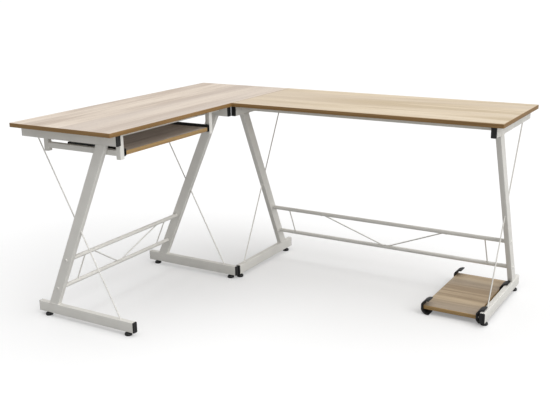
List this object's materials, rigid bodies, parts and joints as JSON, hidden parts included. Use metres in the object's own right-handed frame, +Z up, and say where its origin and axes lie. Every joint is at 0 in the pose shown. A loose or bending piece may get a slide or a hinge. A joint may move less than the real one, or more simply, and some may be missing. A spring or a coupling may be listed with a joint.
{
  "type": "corner desk",
  "caption": "L-shaped desk: two wood-effect tops on leaning Z-shaped steel frames, with a sliding keyboard tray and a low stand for a computer case.",
  "frame": {"origin": "on the floor, under the centre of the desk's bounding box", "axes": "+X along the right wing towards its free end, -Y towards the user's side, where the left wing ends, +Z up"},
  "size_m": [1.57, 1.2, 0.75],
  "materials": {
    "oak_laminate": "particle board faced with light oak laminate, brown edge band, satin",
    "powder_coated_steel": "warm light grey powder coat, satin",
    "black_plastic": "moulded black, fine matt texture",
    "black_steel": "black coated sheet steel"
  },
  "bodies": {
    "desk_frame": {"left_end_top_beam": "powder_coated_steel", "left_end_post": "powder_coated_steel", "left_end_foot_beam": "powder_coated_steel", "left_end_tie_rod": "powder_coated_steel", "left_end_top_cap_front": "black_plastic", "left_end_top_cap_rear": "black_plastic", "left_end_foot_cap_front": "black_plastic", "left_end_foot_cap_rear": "black_plastic", "left_corner_top_beam": "powder_coated_steel", "left_corner_post": "powder_coated_steel", "left_corner_foot_beam": "powder_coated_steel", "left_corner_tie_rod": "powder_coated_steel", "left_corner_top_cap_front": "black_plastic", "left_corner_top_cap_rear": "black_plastic", "left_corner_foot_cap_front": "black_plastic", "left_corner_foot_cap_rear": "black_plastic", "right_corner_top_beam": "powder_coated_steel", "right_corner_post": "powder_coated_steel", "right_corner_foot_beam": "powder_coated_steel", "right_corner_tie_rod": "powder_coated_steel", "right_corner_top_cap_front": "black_plastic", "right_corner_top_cap_rear": "black_plastic", "right_corner_foot_cap_front": "black_plastic", "right_corner_foot_cap_rear": "black_plastic", "right_end_top_beam": "powder_coated_steel", "right_end_post": "powder_coated_steel", "right_end_foot_beam": "powder_coated_steel", "right_end_tie_rod": "powder_coated_steel", "right_end_top_cap_front": "black_plastic", "right_end_top_cap_rear": "black_plastic", "right_end_foot_cap_front": "black_plastic", "right_end_foot_cap_rear": "black_plastic", "left_stretcher_truss": "powder_coated_steel", "left_front_rail": "powder_coated_steel", "left_rear_rail": "powder_coated_steel", "left_top_panel": "oak_laminate", "right_stretcher_truss": "powder_coated_steel", "right_front_rail": "powder_coated_steel", "right_rear_rail": "powder_coated_steel", "right_top_panel": "oak_laminate", "tray_bracket_outer": "powder_coated_steel", "runner_outer_fixed": "black_steel", "tray_bracket_inner": "powder_coated_steel", "runner_inner_fixed": "black_steel", "stand_foot_front_left": "black_plastic", "stand_foot_front_right": "black_plastic", "stand_foot_rear_left": "black_plastic", "stand_foot_rear_right": "black_plastic", "stand_shelf": "oak_laminate"},
    "keyboard_slide": {"keyboard_tray": "oak_laminate", "runner_outer_moving": "black_steel", "runner_inner_moving": "black_steel"},
    "left_end_glide_front": {"left_end_glide_front": "black_plastic"},
    "left_end_glide_rear": {"left_end_glide_rear": "black_plastic"},
    "left_corner_glide_front": {"left_corner_glide_front": "black_plastic"},
    "left_corner_glide_rear": {"left_corner_glide_rear": "black_plastic"},
    "right_corner_glide_front": {"right_corner_glide_front": "black_plastic"},
    "right_corner_glide_rear": {"right_corner_glide_rear": "black_plastic"},
    "right_end_glide_front": {"right_end_glide_front": "black_plastic"},
    "right_end_glide_rear": {"right_end_glide_rear": "black_plastic"}
  },
  "joints": [
    {"name": "keyboard_tray_slide", "type": "slide", "parent": "desk_frame", "child": "keyboard_slide", "axis": [1, 0, 0], "range_m": [0, 0.2]},
    {"name": "left_end_glide_front_screw", "type": "hinge", "parent": "desk_frame", "child": "left_end_glide_front", "pos_m": [-0.344, -0.54, 0.02], "axis": [0, 0, 1], "continuous": true},
    {"name": "left_end_glide_rear_screw", "type": "hinge", "parent": "desk_frame", "child": "left_end_glide_rear", "pos_m": [-0.735, -0.54, 0.02], "axis": [0, 0, 1], "continuous": true},
    {"name": "left_corner_glide_front_screw", "type": "hinge", "parent": "desk_frame", "child": "left_corner_glide_front", "pos_m": [-0.344, 0.13, 0.02], "axis": [0, 0, 1], "continuous": true},
    {"name": "left_corner_glide_rear_screw", "type": "hinge", "parent": "desk_frame", "child": "left_corner_glide_rear", "pos_m": [-0.735, 0.13, 0.02], "axis": [0, 0, 1], "continuous": true},
    {"name": "right_corner_glide_front_screw", "type": "hinge", "parent": "desk_frame", "child": "right_corner_glide_front", "pos_m": [-0.315, 0.159, 0.02], "axis": [0, 0, 1], "continuous": true},
    {"name": "right_corner_glide_rear_screw", "type": "hinge", "parent": "desk_frame", "child": "right_corner_glide_rear", "pos_m": [-0.315, 0.55, 0.02], "axis": [0, 0, 1], "continuous": true},
    {"name": "right_end_glide_front_screw", "type": "hinge", "parent": "desk_frame", "child": "right_end_glide_front", "pos_m": [0.747, 0.159, 0.02], "axis": [0, 0, 1], "continuous": true},
    {"name": "right_end_glide_rear_screw", "type": "hinge", "parent": "desk_frame", "child": "right_end_glide_rear", "pos_m": [0.747, 0.55, 0.02], "axis": [0, 0, 1], "continuous": true}
  ]
}
